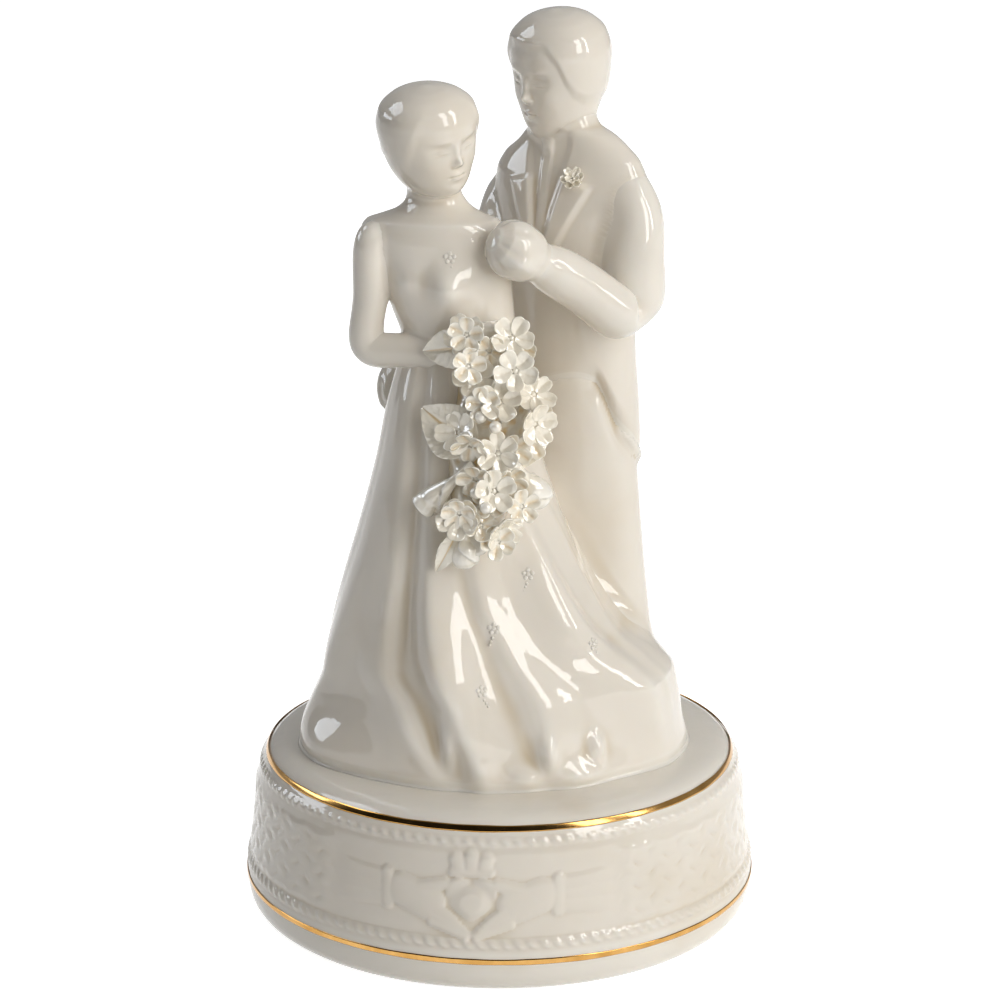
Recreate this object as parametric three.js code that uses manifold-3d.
// Wedding cake topper: a glazed porcelain couple with a hand-made bouquet on a round drum.
// Millimetres, +Z up. The drum's foot stands on Z = 0 and the couple faces -Y.
// Sides are named as the figures have them, so the bride's right arm is on the -X side.
import * as THREE from "three";
import { mergeVertices } from "three/addons/utils/BufferGeometryUtils.js";
import Module from "manifold-3d";

const wasm = await Module();
wasm.setup();

// Fit between a casting and the neighbour that it is stuck to
const SEAM = 0.3;

// Drum: its widest radius and the insets from it, heights from the foot, drops from the top face
const DRUM_HEIGHT = 38.5;
const DRUM_WALL = 4;
const BULGE_RADIUS = 57.8;
const FOOT_INSET = 3;
const FOOT_ROUND = 2.2;
const FRIEZE_FOOT_INSET = 1.1;
const FRIEZE_TOP_INSET = 2.8;
const RIM_INSET = 5.1;
const RIM_ROUND = 1.3;
const ROPE_RISE = 0.5;
const ROPE_WIDTH = 2;
const LOWER_LINE_HEIGHT = 7.9;
const LOWER_ROPE_HEIGHT = 11.6;
const FRIEZE_TOP_DROP = 11.2;
const UPPER_ROPE_DROP = 5;
const UPPER_LINE_DROP = 2.2;
const LINE_WIDTH = 1.2;
const LINE_DEPTH = 0.3;
const VENT_RADIUS = 9;

// Bride
const SKIRT_HEIGHT = 95;
const SKIRT_REACH = 45;
const FOLD_RISE = 2;
const WAIST_REACH = 11;
const WAIST_DEPTH = 8.6;
const SKIRT_WALL = 4;
const SKIRT_HOLLOW_SHARE = 0.8;
const BRIDE_X = -9.5;
const BRIDE_Y = -9.4;
const BRIDE_TURN = 20;
const BODICE_HEIGHT = 34;
const BRIDE_SHOULDER = 17;
const BRIDE_ARM_RADIUS = 4.6;
const BRIDE_HEAD_HEIGHT = 23.6;
const BRIDE_HEAD_WIDTH = 21;

// Groom
const GROOM_X = 15.6;
const GROOM_Y = 12;
const GROOM_TURN = -35;
const TROUSER_HEIGHT = 93;
const HIP_REACH = 12;
const COAT_HEIGHT = 141;
const COAT_FRONT_HEM = 86;
const COAT_TAIL_HEM = 59;
const GROOM_SHOULDER = 18.6;
const GROOM_ARM_RADIUS = 6.6;
const GROOM_HEAD_HEIGHT = 28;
const GROOM_HEAD_WIDTH = 21.5;
const HAND_LENGTH = 13.5;

// Bouquet: flower places are counted in flower pitches from the top of the bouquet
const FLOWER_DIAMETER = 7.6;
const FLOWER_DEPTH = 2.2;
const FLOWER_GAP = 0.3;
const BOUTONNIERE_DIAMETER = 5;
const CORE_HEIGHT = 52;
const CORE_LIFT = 7;
const CORE_ABOVE_WAIST = 4.5;
const BOUQUET_X = -2.4;
const BOUQUET_TOP_DROP = 1.6;
const PEARL_DIAMETER = 2.2;
const LEAF_THICKNESS = 1.1;

const STAND = DRUM_HEIGHT;
const WAIST = STAND + SKIRT_HEIGHT;

const PORCELAIN = { color: 0xf1e8d6, roughness: 0.18, metalness: 0 };
const PEARL = { color: 0xf4ead4, roughness: 0.22, metalness: 0.05 };
const GOLD = { color: 0xc58a35, roughness: 0.25, metalness: 1 };

// Body sections, from the bottom up. at is the share of the body's height, x and y the middle of
// the section, and the other four are its reach from there to the -X, +X, -Y and +Y sides, all as
// shares of the length that the table is laid out with: the skirt's reach, a shoulder or the hips.
// The skirt's middle is counted in the way from the drum's axis to the bride's place.
const waistRow = (unit) => ({
  left: WAIST_REACH / unit,
  right: WAIST_REACH / unit,
  front: WAIST_DEPTH / unit,
  back: WAIST_DEPTH / unit,
});
const SKIRT = [
  { at: 0.0, x: 0.211, y: 0.319, left: 0.967, right: 1.011, front: 0.756, back: 0.822 },
  { at: 0.06, x: 0.305, y: 0.362, left: 0.936, right: 1, front: 0.72, back: 0.776 },
  { at: 0.13, x: 0.421, y: 0.415, left: 0.851, right: 1.013, front: 0.671, back: 0.664 },
  { at: 0.19, x: 0.505, y: 0.457, left: 0.787, right: 1.004, front: 0.636, back: 0.573 },
  { at: 0.24, x: 0.568, y: 0.489, left: 0.76, right: 0.911, front: 0.611, back: 0.513 },
  { at: 0.3, x: 0.632, y: 0.532, left: 0.724, right: 0.756, front: 0.584, back: 0.467 },
  { at: 0.42, x: 0.726, y: 0.638, left: 0.638, right: 0.609, front: 0.531, back: 0.422 },
  { at: 0.56, x: 0.821, y: 0.745, left: 0.529, right: 0.507, front: 0.464, back: 0.378 },
  { at: 0.71, x: 0.905, y: 0.851, left: 0.424, right: 0.413, front: 0.38, back: 0.333 },
  { at: 0.85, x: 0.958, y: 0.936, left: 0.349, right: 0.324, front: 0.296, back: 0.273 },
  { at: 0.94, x: 0.989, y: 0.979, left: 0.284, right: 0.276, front: 0.227, back: 0.216 },
  { at: 1.0, x: 1, y: 1, ...waistRow(SKIRT_REACH) },
];
const BODICE = [
  { at: 0.0, x: 0, y: 0, ...waistRow(BRIDE_SHOULDER) },
  { at: 0.18, x: -0.059, y: 0, left: 0.741, right: 0.682, front: 0.576, back: 0.482 },
  { at: 0.42, x: -0.141, y: 0, left: 0.859, right: 0.753, front: 0.659, back: 0.471 },
  { at: 0.6, x: -0.218, y: 0.024, left: 0.953, right: 0.853, front: 0.553, back: 0.447 },
  { at: 0.7, x: -0.235, y: 0.035, left: 1, right: 0.882, front: 0.424, back: 0.4 },
  { at: 0.73, x: -0.235, y: 0.035, left: 0.912, right: 0.794, front: 0.376, back: 0.376 },
  { at: 0.758, x: -0.235, y: 0.047, left: 0.659, right: 0.588, front: 0.341, back: 0.353 },
  { at: 0.81, x: -0.235, y: 0.059, left: 0.4, right: 0.376, front: 0.288, back: 0.306 },
  { at: 0.87, x: -0.247, y: 0.059, left: 0.294, right: 0.294, front: 0.271, back: 0.282 },
  { at: 1.0, x: -0.282, y: 0.035, left: 0.271, right: 0.271, front: 0.259, back: 0.259 },
];
const TROUSERS = [
  { at: 0.0, x: 0.083, y: 0, left: 1.167, right: 1.917, front: 0.917, back: 0.875 },
  { at: 0.22, x: 0.083, y: 0, left: 1.125, right: 1.708, front: 0.875, back: 0.833 },
  { at: 0.45, x: 0.042, y: 0, left: 1.083, right: 1.5, front: 0.817, back: 0.783 },
  { at: 0.7, x: 0, y: 0, left: 1.05, right: 1.317, front: 0.767, back: 0.75 },
  { at: 1.0, x: 0, y: 0, left: 0.967, right: 1.083, front: 0.683, back: 0.683 },
];
const COAT = [
  { at: 0.42, x: 0, y: 0, left: 0.806, right: 1, front: 0.57, back: 0.624 },
  { at: 0.53, x: 0, y: 0, left: 0.817, right: 0.957, front: 0.591, back: 0.624 },
  { at: 0.63, x: 0, y: 0, left: 0.828, right: 0.882, front: 0.602, back: 0.581 },
  { at: 0.72, x: 0, y: 0, left: 0.849, right: 0.839, front: 0.591, back: 0.538 },
  { at: 0.805, x: 0, y: 0, left: 0.892, right: 0.892, front: 0.602, back: 0.538 },
  { at: 0.855, x: 0, y: 0, left: 1, right: 1, front: 0.548, back: 0.527 },
  { at: 0.894, x: 0, y: 0, left: 1, right: 1, front: 0.484, back: 0.495 },
  { at: 0.922, x: 0, y: 0, left: 0.892, right: 0.914, front: 0.43, back: 0.452 },
  { at: 0.943, x: 0, y: -0.016, left: 0.677, right: 0.731, front: 0.387, back: 0.409 },
  { at: 0.961, x: -0.022, y: -0.043, left: 0.484, right: 0.559, front: 0.355, back: 0.366 },
  { at: 0.972, x: -0.043, y: -0.065, left: 0.344, right: 0.366, front: 0.323, back: 0.323 },
  { at: 1.0, x: -0.065, y: -0.097, left: 0.301, right: 0.301, front: 0.29, back: 0.29 },
];
// Heads are laid out in halves of their width, the face toward -Y
const HEAD = [
  { at: 0.0, x: 0, y: 0, left: 0.3, right: 0.3, front: 0.42, back: 0.3 },
  { at: 0.06, x: 0, y: 0, left: 0.52, right: 0.52, front: 0.72, back: 0.5 },
  { at: 0.18, x: 0, y: 0, left: 0.72, right: 0.72, front: 0.84, back: 0.72 },
  { at: 0.34, x: 0, y: 0, left: 0.86, right: 0.86, front: 0.88, back: 0.94 },
  { at: 0.5, x: 0, y: 0, left: 0.95, right: 0.95, front: 0.9, back: 1.04 },
  { at: 0.66, x: 0, y: 0, left: 1, right: 1, front: 0.92, back: 1.08 },
  { at: 0.8, x: 0, y: 0, left: 0.93, right: 0.93, front: 0.86, back: 1 },
  { at: 0.91, x: 0, y: 0, left: 0.7, right: 0.7, front: 0.64, back: 0.76 },
  { at: 0.97, x: 0, y: 0, left: 0.42, right: 0.42, front: 0.4, back: 0.46 },
  { at: 1.0, x: 0, y: 0, left: 0.14, right: 0.14, front: 0.14, back: 0.14 },
];
// The pad under the flowers, laid out in flower pitches; the skirt behind it gives its depth
const CORE = [
  { at: 0.0, x: -0.582, left: 0.304, right: 0.304 },
  { at: 0.07, x: -0.532, left: 0.759, right: 0.684 },
  { at: 0.2, x: -0.456, left: 0.937, right: 0.81 },
  { at: 0.45, x: -0.253, left: 1.114, right: 1.063 },
  { at: 0.68, x: -0.177, left: 0.987, right: 1.266 },
  { at: 0.86, x: -0.253, left: 0.937, right: 1.038 },
  { at: 0.96, x: -0.278, left: 0.709, right: 0.684 },
  { at: 1.0, x: -0.278, left: 0.329, right: 0.329 },
];

// Ridges of the skirt: degrees round it at the waist, the knee and the hem, its width in degrees
// and its rise as a share of a full fold
const KNEE_SHARE = 0.3;
const FOLDS = [
  { waist: -142, knee: -157, hem: -170, width: 9, rise: 1 },
  { waist: -128, knee: -124, hem: -102, width: 9, rise: 1.15 },
  { waist: -104, knee: -88, hem: -80, width: 9, rise: 1.15 },
  { waist: -92, knee: -70, hem: -61, width: 7, rise: 0.9 },
  { waist: -84, knee: -53, hem: -44, width: 6, rise: 0.85 },
  { waist: -78, knee: -41, hem: -30, width: 6, rise: 0.85 },
  { waist: -70, knee: -22, hem: -8, width: 8, rise: 0.8 },
  { waist: 60, knee: 62, hem: 58, width: 10, rise: 0.9 },
  { waist: 92, knee: 94, hem: 96, width: 10, rise: 0.9 },
  { waist: 122, knee: 124, hem: 130, width: 10, rise: 0.9 },
  { waist: 150, knee: 154, hem: 162, width: 10, rise: 0.9 },
];

// Flower places: pitches across and down, and 1 where a flower stands above its neighbours
const FLOWERS = [
  [-0.49, 0.16, 0],
  [0.55, 0.16, 0],
  [-0.35, 1.21, 0],
  [0.64, 1.06, 1],
  [0.23, 2.14, 0],
  [1.12, 1.66, 0],
  [-0.77, 2.76, 0],
  [0.2, 3.32, 0],
  [1.19, 2.55, 1],
  [0.29, 4.4, 0],
  [-0.77, 5.17, 0],
  [0.4, 5.48, 0],
];
const PEARLS = [
  [-0.38, 2.06],
  [0.64, 2.78],
  [-0.27, 3.94],
  [-0.18, 4.84],
];
// Leaves and buds: places across and down, of the root and then of the tip, and width, in pitches
const LEAVES = [
  { root: [-0.6, 0.9], tip: [-1.72, 0.4], width: 1.08 },
  { root: [-0.85, 3.45], tip: [-1.55, 1.5], width: 1.27 },
  { root: [0.85, 3.5], tip: [1.65, 2.4], width: 0.76 },
  { root: [-0.8, 5.6], tip: [-1.6, 6], width: 0.51 },
];
const BUDS = [
  { root: [-0.6, 3.6], tip: [-1.74, 4.67], width: 0.66 },
  { root: [0.7, 3.5], tip: [1.42, 4.7], width: 0.73 },
  { root: [-0.5, 5.6], tip: [-0.72, 6.5], width: 0.68 },
];

const FINE = 48;
const COARSE = 26;
const degrees = THREE.MathUtils.degToRad;
const lerp = THREE.MathUtils.lerp;
const vector = (x, y, z) => new THREE.Vector3(x, y, z);

// A table of sections in lengths: its shares times the lengths that they were laid out with
function inLengths(rows, reach, alongX = reach, alongY = reach) {
  return rows.map((row) => ({
    at: row.at,
    x: row.x * alongX,
    y: row.y * alongY,
    left: row.left * reach,
    right: row.right * reach,
    front: row.front * reach,
    back: row.back * reach,
  }));
}
const pitch = FLOWER_DIAMETER + FLOWER_GAP;
const skirtRows = inLengths(SKIRT, SKIRT_REACH, BRIDE_X, BRIDE_Y);
const bodiceRows = inLengths(BODICE, BRIDE_SHOULDER);
const trouserRows = inLengths(TROUSERS, HIP_REACH);
const coatRows = inLengths(COAT, GROOM_SHOULDER);
const coreRows = inLengths(CORE, pitch);

// Value of one column of a table at a share t: a smooth curve that doesn't overshoot its rows
function column(rows, key, t) {
  let low = 0;
  while (low < rows.length - 2 && t > rows[low + 1].at) low += 1;
  const slope = (k) => (rows[k + 1][key] - rows[k][key]) / (rows[k + 1].at - rows[k].at);
  const here = slope(low);
  const eased = (other) => (other * here > 0 ? (2 * other * here) / (other + here) : 0);
  const start = low > 0 ? eased(slope(low - 1)) : here;
  const end = low < rows.length - 2 ? eased(slope(low + 1)) : here;
  const span = rows[low + 1].at - rows[low].at;
  const u = THREE.MathUtils.clamp((t - rows[low].at) / span, 0, 1);
  const rise = rows[low + 1][key] - rows[low][key];
  const bend = u * (1 - u) * span * (start * (1 - u) - end * u);
  return rows[low][key] + rise * u * u * (3 - 2 * u) + bend;
}

// Point at an angle on the section of a body: four quarter ellipses that meet on the axes
function onSection(rows, t, angle, grow) {
  const across = Math.cos(angle);
  const along = Math.sin(angle);
  const sideways = column(rows, across > 0 ? "right" : "left", t) + grow;
  const depth = column(rows, along > 0 ? "back" : "front", t) + grow;
  return vector(column(rows, "x", t) + sideways * across, column(rows, "y", t) + depth * along, 0);
}

// Skin over a function of angle and share, closed by a fan over each end
function skin(point, around, steps) {
  const points = [];
  const faces = [];
  for (let s = 0; s <= steps; s += 1) {
    for (let k = 0; k < around; k += 1) points.push(point((2 * Math.PI * k) / around, s / steps));
  }
  for (let s = 0; s < steps; s += 1) {
    for (let k = 0; k < around; k += 1) {
      const a = s * around + k;
      const b = s * around + ((k + 1) % around);
      faces.push(a, b, b + around, a, b + around, a + around);
    }
  }
  const middle = (first) => {
    const sum = vector(0, 0, 0);
    for (let k = 0; k < around; k += 1) sum.add(points[first + k]);
    return sum.divideScalar(around);
  };
  const last = steps * around;
  const low = points.push(middle(0)) - 1;
  const high = points.push(middle(last)) - 1;
  for (let k = 0; k < around; k += 1) {
    const next = (k + 1) % around;
    faces.push(low, next, k, high, last + k, last + next);
  }
  const geometry = new THREE.BufferGeometry().setFromPoints(points);
  geometry.setIndex(faces);
  return geometry;
}

function solidOf(geometry) {
  const bare = geometry.clone();
  bare.deleteAttribute("normal");
  bare.deleteAttribute("uv");
  const merged = mergeVertices(bare, 1e-4);
  return new wasm.Manifold(
    new wasm.Mesh({
      numProp: 3,
      vertProperties: new Float32Array(merged.attributes.position.array),
      triVerts: new Uint32Array(merged.index.array),
    }),
  );
}

function geometryOf(solid) {
  const mesh = solid.getMesh();
  const geometry = new THREE.BufferGeometry();
  geometry.setAttribute("position", new THREE.BufferAttribute(mesh.vertProperties.slice(), 3));
  geometry.setIndex(new THREE.BufferAttribute(mesh.triVerts.slice(), 1));
  return geometry;
}

// A casting less its neighbours; the chips that a cut leaves beside the casting are dropped
function trimmed(geometry, ...tools) {
  let solid = solidOf(geometry);
  for (const tool of tools) solid = solid.subtract(tool);
  const bodies = solid.decompose();
  bodies.sort((a, b) => b.volume() - a.volume());
  return geometryOf(bodies[0]);
}

const topper = new THREE.Group();
topper.name = "wedding_cake_topper";

function add(name, geometry, look) {
  const mesh = new THREE.Mesh(geometry, new THREE.MeshStandardMaterial(look));
  mesh.name = name;
  topper.add(mesh);
  return mesh;
}

function turned(profile) {
  const geometry = new THREE.LatheGeometry(profile.map(([r, z]) => new THREE.Vector2(r, z)), FINE);
  geometry.rotateX(Math.PI / 2);
  geometry.deleteAttribute("normal");
  geometry.deleteAttribute("uv");
  return mergeVertices(geometry, 1e-4);
}

// Drum: a hollow turned casting with a groove for each gold line and a plain bead for each rope
const upperLine = DRUM_HEIGHT - UPPER_LINE_DROP;
const upperRope = DRUM_HEIGHT - UPPER_ROPE_DROP;
const friezeTop = DRUM_HEIGHT - FRIEZE_TOP_DROP;
const friezeFoot = LOWER_ROPE_HEIGHT + ROPE_WIDTH;
const footRadius = BULGE_RADIUS - FOOT_INSET;
const friezeFootRadius = BULGE_RADIUS - FRIEZE_FOOT_INSET;
const friezeTopRadius = BULGE_RADIUS - FRIEZE_TOP_INSET;
const rimRadius = BULGE_RADIUS - RIM_INSET;

const groove = (radius, height) => [
  [radius, height - LINE_WIDTH / 2],
  [radius - LINE_DEPTH, height - LINE_WIDTH / 2],
  [radius - LINE_DEPTH, height + LINE_WIDTH / 2],
  [radius, height + LINE_WIDTH / 2],
];
const bead = (radius, height) => [
  [radius, height - ROPE_WIDTH / 2],
  [radius + ROPE_RISE, height],
  [radius, height + ROPE_WIDTH / 2],
];
const drumProfile = [
  [footRadius, 0],
  [footRadius + FOOT_ROUND, FOOT_ROUND],
  [BULGE_RADIUS, LOWER_LINE_HEIGHT - 2 * LINE_WIDTH],
  ...groove(BULGE_RADIUS, LOWER_LINE_HEIGHT),
  ...bead(lerp(BULGE_RADIUS, friezeFootRadius, 0.6), LOWER_ROPE_HEIGHT),
  [friezeFootRadius, friezeFoot],
  [lerp(friezeFootRadius, friezeTopRadius, 0.65), lerp(friezeFoot, friezeTop, 0.5)],
  [friezeTopRadius, friezeTop],
  [lerp(friezeTopRadius, rimRadius, 0.65), lerp(friezeTop, upperRope, 0.45)],
  ...bead(rimRadius, upperRope),
  ...groove(rimRadius, upperLine),
  [rimRadius - RIM_ROUND * 0.3, DRUM_HEIGHT - RIM_ROUND * 0.3],
  [rimRadius - RIM_ROUND, DRUM_HEIGHT],
  [VENT_RADIUS, DRUM_HEIGHT],
  [VENT_RADIUS, DRUM_HEIGHT - DRUM_WALL],
  [rimRadius - DRUM_WALL - RIM_ROUND, DRUM_HEIGHT - DRUM_WALL],
  [rimRadius - DRUM_WALL, DRUM_HEIGHT - DRUM_WALL - RIM_ROUND],
  [friezeTopRadius - DRUM_WALL, friezeTop],
  [friezeFootRadius - DRUM_WALL, friezeFoot],
  [footRadius - DRUM_WALL, 0],
  [footRadius, 0],
];
add("base_drum", turned(drumProfile), PORCELAIN);

const GILT_REST = 0.02;
function goldLine(name, radius, height) {
  const inner = radius - LINE_DEPTH + GILT_REST;
  const half = LINE_WIDTH / 2 - GILT_REST;
  add(
    name,
    turned([
      [inner, height - half],
      [radius, height - half],
      [radius, height + half],
      [inner, height + half],
      [inner, height - half],
    ]),
    GOLD,
  );
}
goldLine("upper_gold_line", rimRadius, upperLine);
goldLine("lower_gold_line", BULGE_RADIUS, LOWER_LINE_HEIGHT);

// Bride's skirt: a flared shell with ridges that swing from the waist to the hem
function foldRise(angle, t) {
  let rise = 0;
  for (const fold of FOLDS) {
    const low = lerp(fold.hem, fold.knee, Math.min(t / KNEE_SHARE, 1));
    const high = lerp(fold.knee, fold.waist, (t - KNEE_SHARE) / (1 - KNEE_SHARE));
    const path = degrees(t < KNEE_SHARE ? low : high);
    const away = Math.atan2(Math.sin(angle - path), Math.cos(angle - path)) / degrees(fold.width);
    rise += FOLD_RISE * fold.rise * (1 - t) * Math.exp(-away * away);
  }
  return rise;
}
function skirtSkin(grow) {
  const reach = grow / SKIRT_HEIGHT;
  return skin((angle, share) => {
    const t = lerp(-reach, 1 + reach, share);
    const flat = THREE.MathUtils.clamp(t, 0, 1);
    const point = onSection(skirtRows, flat, angle, grow + foldRise(angle, flat));
    return point.setZ(STAND + SKIRT_HEIGHT * t);
  }, 44, 18);
}
const skirtHollow = skin((angle, share) => {
  const t = lerp(-SEAM / SKIRT_HEIGHT, SKIRT_HOLLOW_SHARE, share);
  return onSection(skirtRows, Math.max(t, 0), angle, -SKIRT_WALL).setZ(STAND + SKIRT_HEIGHT * t);
}, 20, 10);
const skirtTool = solidOf(skirtSkin(SEAM * 1.4));
add("bride_skirt", trimmed(skirtSkin(0), solidOf(skirtHollow)), PORCELAIN);

// Where the front of the skirt is, seen straight on
function skirtFront(x, z) {
  const t = THREE.MathUtils.clamp((z - STAND) / SKIRT_HEIGHT, 0, 1);
  const offset = x - column(skirtRows, "x", t);
  const reach = column(skirtRows, offset > 0 ? "right" : "left", t);
  const share = Math.min(Math.abs(offset) / reach, 0.98);
  return column(skirtRows, "y", t) - column(skirtRows, "front", t) * Math.sqrt(1 - share * share);
}

const brideFrame = new THREE.Matrix4().makeRotationZ(degrees(BRIDE_TURN));
brideFrame.setPosition(BRIDE_X, BRIDE_Y, WAIST);
const groomFrame = new THREE.Matrix4().makeRotationZ(degrees(GROOM_TURN));
groomFrame.setPosition(GROOM_X, GROOM_Y, STAND);
const onBride = (x, y, z) => vector(x, y, z).applyMatrix4(brideFrame);
const onGroom = (x, y, z) => vector(x, y, z).applyMatrix4(groomFrame);

// Bride's bodice, bare shoulders and neck; the neck is the spigot for her head
function bodiceSkin(grow) {
  const reach = grow / BODICE_HEIGHT;
  return skin((angle, share) => {
    const t = lerp(-reach, 1 + reach, share);
    const point = onSection(bodiceRows, THREE.MathUtils.clamp(t, 0, 1), angle, grow);
    return onBride(point.x, point.y, BODICE_HEIGHT * t);
  }, COARSE, 16);
}
const bodiceTool = solidOf(bodiceSkin(SEAM));
add("bride_bodice", bodiceSkin(0), PORCELAIN);

// A limb: a round skin along a path, its radius a share of the full one at each step
function limbSkin(path, radius, shares, grow) {
  const curve = new THREE.CatmullRomCurve3(path, false, "centripetal");
  const steps = 10;
  const frames = curve.computeFrenetFrames(steps, false);
  return skin((angle, share) => {
    const k = Math.round(share * steps);
    const reach = radius * column(shares, "size", share) + grow;
    const point = curve.getPointAt(share);
    point.addScaledVector(frames.normals[k], reach * Math.cos(angle));
    return point.addScaledVector(frames.binormals[k], reach * Math.sin(angle));
  }, 12, steps);
}
const SLEEVE = [
  { at: 0, size: 0.6 },
  { at: 0.1, size: 0.95 },
  { at: 0.25, size: 1 },
  { at: 0.55, size: 0.96 },
  { at: 0.92, size: 0.84 },
  { at: 1, size: 0.7 },
];

// The bouquet's pad stands in front of the skirt and hides the bride's right hand
const coreTop = WAIST + CORE_ABOVE_WAIST;
const coreMiddle = (t) => column(coreRows, "x", t);
function coreFront(x, z) {
  const t = THREE.MathUtils.clamp(1 - (coreTop - z) / CORE_HEIGHT, 0, 1);
  const offset = x - coreMiddle(t);
  const reach = column(coreRows, offset > 0 ? "right" : "left", t);
  const share = Math.min(Math.abs(offset) / reach, 0.96);
  const back = skirtFront(coreMiddle(t), Math.min(z, WAIST));
  return back - CORE_LIFT * Math.sqrt(1 - share ** 4);
}
function coreSkin(grow) {
  return skin((angle, share) => {
    const t = share;
    const z = coreTop - CORE_HEIGHT * (1 - t) + (t < 0.5 ? -grow : grow) * Math.abs(2 * t - 1);
    const across = Math.sign(Math.cos(angle)) * Math.sqrt(Math.abs(Math.cos(angle)));
    const reach = column(coreRows, across > 0 ? "right" : "left", t) + grow;
    const y = skirtFront(coreMiddle(t), Math.min(z, WAIST)) + (CORE_LIFT + grow) * Math.sin(angle);
    return vector(coreMiddle(t) + reach * across, y, z);
  }, 20, 12);
}

// Bride's right arm hangs to the elbow and turns forward to the bouquet
const handX = coreMiddle(0.86) - pitch;
const handZ = coreTop - pitch;
const handPlace = vector(handX, coreFront(handX, handZ) + 1, handZ);
const rightShoulder = onBride(-BRIDE_SHOULDER * 1.01, BRIDE_ARM_RADIUS * 0.65, BODICE_HEIGHT * 0.55);
const rightElbow = vector(
  rightShoulder.x - BRIDE_ARM_RADIUS * 0.17,
  rightShoulder.y + BRIDE_ARM_RADIUS * 0.11,
  WAIST - BRIDE_ARM_RADIUS * 0.43,
);
const rightArmPath = [
  onBride(-BRIDE_SHOULDER * 0.76, BRIDE_ARM_RADIUS * 0.43, BODICE_HEIGHT * 0.62),
  rightShoulder,
  rightElbow.clone().lerp(rightShoulder, 0.4),
  rightElbow,
  rightElbow.clone().lerp(handPlace, 0.45),
  handPlace,
];
const rightArmTool = solidOf(limbSkin(rightArmPath, BRIDE_ARM_RADIUS, SLEEVE, SEAM));
const coreTool = solidOf(coreSkin(SEAM));
add(
  "bride_right_arm",
  trimmed(limbSkin(rightArmPath, BRIDE_ARM_RADIUS, SLEEVE, 0), bodiceTool, skirtTool),
  PORCELAIN,
);
add("bouquet_core", trimmed(coreSkin(0), skirtTool, bodiceTool, rightArmTool), PEARL);

// The clasped hands are held in front of the bride's left shoulder
const clasp = onBride(BRIDE_SHOULDER * 0.353, -BRIDE_SHOULDER * 0.8, BODICE_HEIGHT * 0.64);
const leftElbow = onBride(BRIDE_SHOULDER * 0.88, -BRIDE_SHOULDER * 0.41, BODICE_HEIGHT * 0.38);
const leftArmPath = [
  onBride(BRIDE_SHOULDER * 0.53, BRIDE_SHOULDER * 0.03, BODICE_HEIGHT * 0.6),
  onBride(BRIDE_SHOULDER * 0.7, -BRIDE_SHOULDER * 0.09, BODICE_HEIGHT * 0.5),
  leftElbow,
  clasp.clone().lerp(leftElbow, 0.3),
];
const leftArmTool = solidOf(limbSkin(leftArmPath, BRIDE_ARM_RADIUS, SLEEVE, SEAM));
add(
  "bride_left_arm",
  trimmed(limbSkin(leftArmPath, BRIDE_ARM_RADIUS, SLEEVE, 0), bodiceTool),
  PORCELAIN,
);

// Groom's trousers stand behind the train of the skirt, with a crease between the legs
const LEG_CREASE = 0.27;
function trouserSkin(grow) {
  const reach = grow / TROUSER_HEIGHT;
  return skin((angle, share) => {
    const t = lerp(-reach, 1 + reach, share);
    const flat = THREE.MathUtils.clamp(t, 0, 1);
    const depth = HIP_REACH * LEG_CREASE * (1 - flat);
    const crease = depth * Math.exp(-(((angle - degrees(95)) / degrees(16)) ** 2));
    const point = onSection(trouserRows, flat, angle, grow - crease);
    return onGroom(point.x, point.y, TROUSER_HEIGHT * t);
  }, COARSE, 16);
}
const trouserTool = solidOf(trouserSkin(SEAM));
add("groom_trousers", trimmed(trouserSkin(0), skirtTool, bodiceTool), PORCELAIN);

// Groom's cutaway coat, its hem high in front and low behind; the neck is the spigot for his head
function coatPoint(angle, share, grow) {
  const behind = THREE.MathUtils.smoothstep(Math.sin(angle - degrees(20)), -0.75, 0.55);
  const hem = lerp(COAT_FRONT_HEM, COAT_TAIL_HEM, behind) - grow;
  const z = lerp(hem, COAT_HEIGHT + grow, share);
  const point = onSection(coatRows, Math.min(z / COAT_HEIGHT, 1), angle, grow);
  return onGroom(point.x, point.y, z);
}
const coatSkin = (grow) => skin((angle, share) => coatPoint(angle, share, grow), COARSE, 17);
const coatTool = solidOf(coatSkin(SEAM));
add(
  "groom_coat",
  trimmed(coatSkin(0), trouserTool, skirtTool, bodiceTool, leftArmTool),
  PORCELAIN,
);

// Groom's left arm bends across to the clasped hands
const groomShoulder = onGroom(GROOM_SHOULDER * 0.946, -GROOM_ARM_RADIUS * 0.08, COAT_HEIGHT * 0.855);
const groomElbow = onGroom(GROOM_SHOULDER * 1.054, -GROOM_ARM_RADIUS * 1.06, COAT_HEIGHT * 0.675);
const cuff = clasp.clone().lerp(groomElbow, 0.26);
const leftSleevePath = [
  onGroom(GROOM_SHOULDER * 0.677, 0, COAT_HEIGHT * 0.893),
  groomShoulder,
  groomElbow.clone().lerp(groomShoulder, 0.35),
  groomElbow,
  groomElbow.clone().lerp(cuff, 0.5),
  cuff,
];
const leftSleeveTool = solidOf(limbSkin(leftSleevePath, GROOM_ARM_RADIUS, SLEEVE, SEAM));
add(
  "groom_left_arm",
  trimmed(
    limbSkin(leftSleevePath, GROOM_ARM_RADIUS, SLEEVE, 0),
    coatTool,
    bodiceTool,
    leftArmTool,
    skirtTool,
  ),
  PORCELAIN,
);

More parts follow.
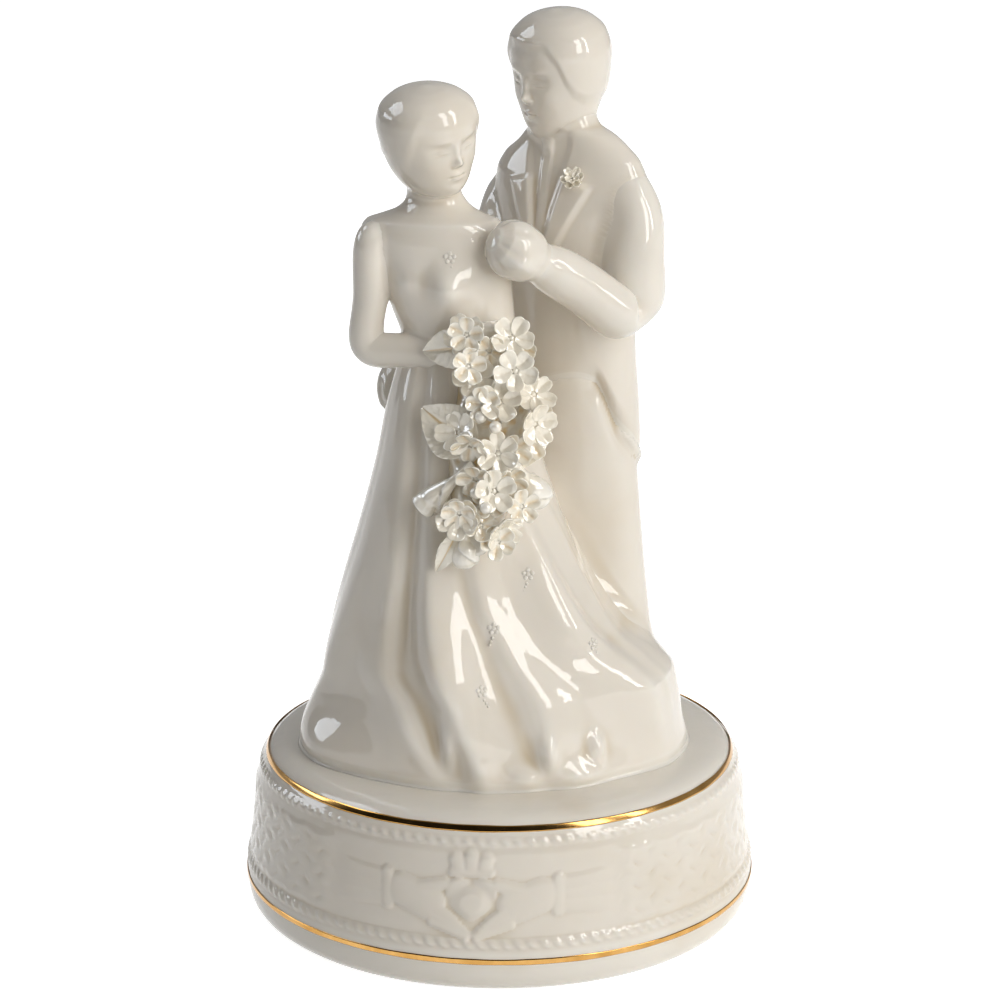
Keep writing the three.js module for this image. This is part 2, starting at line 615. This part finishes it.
// Clasped hands: a rounded fist with four finger ridges, set along the groom's forearm
const wrist = clasp.clone().lerp(groomElbow, 0.28);
const reachOfHand = clasp.clone().sub(wrist).normalize();
const handPath = [
  wrist,
  wrist.clone().addScaledVector(reachOfHand, HAND_LENGTH * 0.5),
  wrist.clone().addScaledVector(reachOfHand, HAND_LENGTH),
];
const FIST = [
  { at: 0, size: 0.6 },
  { at: 0.25, size: 0.86 },
  { at: 0.6, size: 1 },
  { at: 0.85, size: 0.78 },
  { at: 1, size: 0.35 },
];
add(
  "clasped_hands",
  trimmed(
    limbSkin(handPath, HAND_LENGTH * 0.47, FIST, 0),
    leftSleeveTool,
    bodiceTool,
    leftArmTool,
  ),
  PORCELAIN,
);

// Groom's right arm passes behind the bride, and its hand rests on her right hip
const rightSleeveRadius = GROOM_ARM_RADIUS * 0.92;
const palm = (along, back, up) => vector(along, back, up).multiplyScalar(HAND_LENGTH);
function besideBride(along, back, up) {
  return vector(along, back, up).multiplyScalar(BODICE_HEIGHT).add(vector(BRIDE_X, BRIDE_Y, WAIST));
}
const embrace = besideBride(-0.37, 0.324, -0.397);
const rightSleevePath = [
  onGroom(-GROOM_SHOULDER * 0.57, GROOM_ARM_RADIUS * 0.08, COAT_HEIGHT * 0.88),
  onGroom(-GROOM_SHOULDER * 0.892, GROOM_ARM_RADIUS * 0.15, COAT_HEIGHT * 0.85),
  besideBride(0.235, 0.765, 0.382),
  besideBride(-0.088, 0.618, 0.03),
  embrace.clone().add(palm(0.26, 0.22, 0.3)),
];
const rightSleeveTool = solidOf(limbSkin(rightSleevePath, rightSleeveRadius, SLEEVE, SEAM));
add(
  "groom_right_arm",
  trimmed(
    limbSkin(rightSleevePath, rightSleeveRadius, SLEEVE, 0),
    coatTool,
    bodiceTool,
    skirtTool,
    rightArmTool,
    trouserTool,
  ),
  PORCELAIN,
);
const MITTEN = [
  { at: 0, size: 0.7 },
  { at: 0.4, size: 1 },
  { at: 0.8, size: 0.8 },
  { at: 1, size: 0.35 },
];
const rightPalmPath = [
  embrace.clone().add(palm(0.22, 0.22, 0.26)),
  embrace,
  embrace.clone().add(palm(-0.04, -0.33, -0.44)),
];
add(
  "groom_right_hand",
  trimmed(
    limbSkin(rightPalmPath, HAND_LENGTH * 0.36, MITTEN, 0),
    rightSleeveTool,
    skirtTool,
    bodiceTool,
    rightArmTool,
  ),
  PORCELAIN,
);

// Heads: an egg with a nose, a chin and a cap of hair, hollowed for the neck
function headSkin(height, width, hair) {
  return skin((angle, t) => {
    const half = width / 2;
    const fromFront = Math.abs(Math.atan2(Math.sin(angle + Math.PI / 2), Math.cos(angle + Math.PI / 2)));
    const nose = 0.09 * Math.exp(-((fromFront / 0.2) ** 2) - ((t - 0.36) / 0.08) ** 2);
    const hairline = lerp(hair.ear, hair.brow, THREE.MathUtils.smoothstep(t, 0.35, 0.72));
    const cap = hair.rise * THREE.MathUtils.smoothstep(fromFront, hairline - 0.2, hairline + 0.2);
    const reach = 1 + nose + cap * THREE.MathUtils.smoothstep(t, 0.2, 0.4);
    const bun = hair.bun * Math.exp(-(((fromFront - Math.PI) / 0.7) ** 2) - ((t - 0.42) / 0.16) ** 2);
    const point = onSection(HEAD, t, angle, 0).multiplyScalar(half * (reach + bun));
    return point.setZ(height * (t - 0.5));
  }, 22, 14);
}
function placeHead(geometry, middle, turn, nod, tilt) {
  const spin = new THREE.Euler(degrees(nod), degrees(tilt), degrees(turn), "ZXY");
  geometry.applyMatrix4(new THREE.Matrix4().makeRotationFromEuler(spin).setPosition(middle));
  return geometry;
}
const brideHead = placeHead(
  headSkin(BRIDE_HEAD_HEIGHT, BRIDE_HEAD_WIDTH, { ear: 1.5, brow: 0.75, rise: 0.06, bun: 0.16 }),
  onBride(-BRIDE_SHOULDER * 0.341, -BRIDE_SHOULDER * 0.035, BODICE_HEIGHT + BRIDE_HEAD_HEIGHT * 0.373),
  38,
  8,
  -10,
);
add("bride_head", trimmed(brideHead, bodiceTool), PORCELAIN);
const groomHead = placeHead(
  headSkin(GROOM_HEAD_HEIGHT, GROOM_HEAD_WIDTH, { ear: 1.65, brow: 0.85, rise: 0.06, bun: 0 }),
  onGroom(-GROOM_SHOULDER * 0.075, -GROOM_SHOULDER * 0.14, COAT_HEIGHT + GROOM_HEAD_HEIGHT * 0.279),
  -50,
  10,
  4,
);
add("groom_head", trimmed(groomHead, coatTool), PORCELAIN);

// A flower: five notched petals in a shallow cup, with a peg under it and a bead in the middle
function flowerSkin(diameter, depth, peg) {
  const rim = diameter / 2;
  const notch = (angle) => 0.76 + 0.24 * Math.abs(Math.cos(2.5 * angle)) ** 0.7;
  const rings = [
    { reach: 0.1, z: -depth - peg },
    { reach: 0.16, z: -depth * 0.75 },
    { reach: 1, z: -depth * 0.22 },
    { reach: 0.97, z: 0 },
    { reach: 0.24, z: -depth * 0.4 },
  ];
  return skin((angle, share) => {
    const ring = rings[Math.round(share * (rings.length - 1))];
    const reach = rim * ring.reach * (ring.reach > 0.5 ? notch(angle) : 1);
    return vector(reach * Math.cos(angle), reach * Math.sin(angle), ring.z);
  }, 20, rings.length - 1);
}
const bouquetPoint = ([across, down]) => [
  BOUQUET_X + across * pitch,
  coreTop - BOUQUET_TOP_DROP - down * pitch,
];

// Matrix that puts a piece's +Z along the outward normal of a front given as y(x, z)
function seated(front, x, z, lift) {
  const probe = 0.5;
  const slopeX = (front(x + probe, z) - front(x - probe, z)) / (2 * probe);
  const slopeZ = (front(x, z + probe) - front(x, z - probe)) / (2 * probe);
  const out = vector(slopeX / 2, -1, slopeZ).normalize();
  const place = vector(x, front(x, z), z).addScaledVector(out, lift);
  const spin = new THREE.Quaternion().setFromUnitVectors(vector(0, 0, 1), out);
  return { place, spin };
}
const numbered = (name, index) => `${name}_${String(index + 1).padStart(2, "0")}`;

const flowerTools = [];
FLOWERS.forEach(([across, down, raised], index) => {
  const peg = raised * (FLOWER_DEPTH + FLOWER_GAP);
  const [x, z] = bouquetPoint([across, down]);
  const mesh = add(numbered("flower", index), flowerSkin(FLOWER_DIAMETER, FLOWER_DEPTH, peg), PEARL);
  const { place, spin } = seated(coreFront, x, z, FLOWER_DEPTH + peg + SEAM / 2);
  mesh.position.copy(place);
  mesh.quaternion.copy(spin);
  const reach = FLOWER_DIAMETER / 2 + SEAM;
  const grown = new THREE.CylinderGeometry(reach, reach, FLOWER_DEPTH, 20);
  grown.rotateX(Math.PI / 2);
  grown.translate(0, 0, SEAM - FLOWER_DEPTH / 2);
  grown.applyQuaternion(spin);
  grown.translate(place.x, place.y, place.z);
  flowerTools.push(solidOf(grown));
});

PEARLS.forEach((spot, index) => {
  const [x, z] = bouquetPoint(spot);
  const pearl = new THREE.SphereGeometry(PEARL_DIAMETER / 2, 10, 6);
  pearl.deleteAttribute("normal");
  pearl.deleteAttribute("uv");
  const mesh = add(numbered("pearl", index), mergeVertices(pearl, 1e-4), PEARL);
  mesh.position.copy(seated(coreFront, x, z, PEARL_DIAMETER / 2 + SEAM / 2).place);
});

// Leaves and buds lie between the pad and the skirt and are trimmed to both
function onBouquetSide(spot, clear) {
  const [x, z] = bouquetPoint(spot);
  return vector(x, skirtFront(x, Math.min(z, WAIST)) - clear, z);
}
LEAVES.forEach((leaf, index) => {
  const root = onBouquetSide(leaf.root, LEAF_THICKNESS * 2.5);
  const tip = onBouquetSide(leaf.tip, LEAF_THICKNESS * 3);
  const spine = tip.clone().sub(root);
  const side = spine.clone().cross(vector(0, -1, 0)).normalize();
  const face = side.clone().cross(spine).normalize();
  const geometry = skin((angle, share) => {
    const swell = Math.sin(Math.PI * (0.08 + 0.88 * share) ** 0.8);
    const half = ((leaf.width * pitch) / 2) * (0.12 + 0.88 * swell);
    const point = root.clone().addScaledVector(spine, share);
    point.addScaledVector(side, -half * Math.cos(angle));
    return point.addScaledVector(face, (LEAF_THICKNESS / 2) * Math.sin(angle));
  }, 10, 8);
  const tools = [coreTool, skirtTool, bodiceTool, rightArmTool, ...flowerTools];
  add(numbered("leaf", index), trimmed(geometry, ...tools), PEARL);
});

const TRUMPET = [
  { at: 0, size: 0.45 },
  { at: 0.35, size: 0.55 },
  { at: 0.8, size: 0.85 },
  { at: 1, size: 1 },
];
BUDS.forEach((bud, index) => {
  const radius = (bud.width * pitch) / 2;
  const root = onBouquetSide(bud.root, radius * 0.7);
  const tip = onBouquetSide(bud.tip, radius * 1.05);
  const path = [root, root.clone().lerp(tip, 0.5), tip];
  const geometry = limbSkin(path, radius, TRUMPET, 0);
  add(numbered("bud", index), trimmed(geometry, coreTool, skirtTool, ...flowerTools), PEARL);
});

// The groom's flower sits on his left lapel
const lapel = degrees(-68);
const lapelShare = 0.74;
const lapelPoint = coatPoint(lapel, lapelShare, 0);
const lapelAround = coatPoint(lapel + 0.05, lapelShare, 0).sub(coatPoint(lapel - 0.05, lapelShare, 0));
const lapelUp = coatPoint(lapel, lapelShare + 0.02, 0).sub(coatPoint(lapel, lapelShare - 0.02, 0));
const lapelOut = lapelAround.cross(lapelUp).normalize();
const boutonniere = add("boutonniere", flowerSkin(BOUTONNIERE_DIAMETER, FLOWER_DEPTH, 0), PEARL);
boutonniere.position.copy(lapelPoint.addScaledVector(lapelOut, FLOWER_DEPTH + SEAM));
boutonniere.quaternion.setFromUnitVectors(vector(0, 0, 1), lapelOut);

export default topper;
